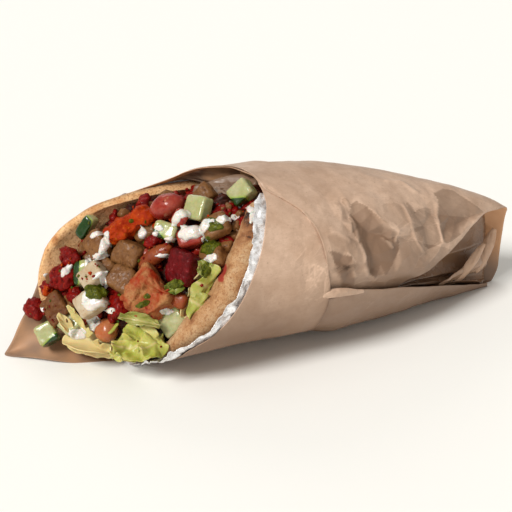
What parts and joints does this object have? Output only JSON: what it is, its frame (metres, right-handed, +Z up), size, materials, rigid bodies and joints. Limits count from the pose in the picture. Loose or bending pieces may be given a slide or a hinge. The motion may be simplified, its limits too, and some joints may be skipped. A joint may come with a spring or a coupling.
{
  "type": "gyro wrap",
  "caption": "Rolled flatbread filled with diced meat, cucumber, tomato and lettuce, wrapped in foil and brown paper with a gathered tail.",
  "frame": {"origin": "centre of the bounding box's bottom face, where the roll rests on its flattened underside", "axes": "+X along the roll from its open mouth to its folded paper tail, -Y the front, +Z up"},
  "size_m": [0.26, 0.0949, 0.0905],
  "materials": {
    "paper": "matte brown wrapping paper, crumpled",
    "foil": "crinkled thin foil",
    "bread": "baked flatbread with brown spots",
    "filling": "moist crumbly minced filling",
    "cucumber": "wet cut cucumber with dark green skin",
    "tomato": "wet cut tomato",
    "chicken": "glazed orange-red roasted meat",
    "meat": "browned roasted meat",
    "red": "moist dark red chopped filling",
    "beet": "wet dark crimson chunk",
    "pepper": "glossy roasted pepper",
    "potato": "pale fried cubes with sauce",
    "bean": "smooth tan bean",
    "lettuce": "fresh yellow-green leaf"
  },
  "bodies": {
    "root": {"bean_1": "bean", "beet_1": "beet", "chicken_1": "chicken", "chicken_2": "chicken", "cucumber_1": "cucumber", "cucumber_2": "cucumber", "cucumber_3": "cucumber", "cucumber_4": "cucumber", "cucumber_5": "cucumber", "cucumber_7": "cucumber", "cucumber_8": "cucumber", "cucumber_9": "cucumber", "filling_bed": "filling", "foil_liner": "foil", "lettuce_1": "lettuce", "lettuce_10": "lettuce", "lettuce_11": "lettuce", "lettuce_2": "lettuce", "lettuce_3": "lettuce", "lettuce_4": "lettuce", "lettuce_5": "lettuce", "lettuce_6": "lettuce", "lettuce_7": "lettuce", "lettuce_8": "lettuce", "lettuce_9": "lettuce", "meat_1": "meat", "meat_10": "meat", "meat_2": "meat", "meat_3": "meat", "meat_4": "meat", "meat_5": "meat", "meat_6": "meat", "meat_7": "meat", "meat_8": "meat", "meat_9": "meat", "paper_wrap": "paper", "pepper_1": "pepper", "pepper_2": "pepper", "pita": "bread", "potato_1": "potato", "potato_2": "potato", "red_1": "red", "red_2": "red", "red_3": "red", "red_4": "red", "red_5": "red", "red_6": "red", "red_7": "red", "red_8": "red", "red_9": "red", "tomato_1": "tomato", "tomato_2": "tomato", "tomato_3": "tomato", "tomato_4": "tomato", "tomato_5": "tomato"}
  },
  "joints": []
}
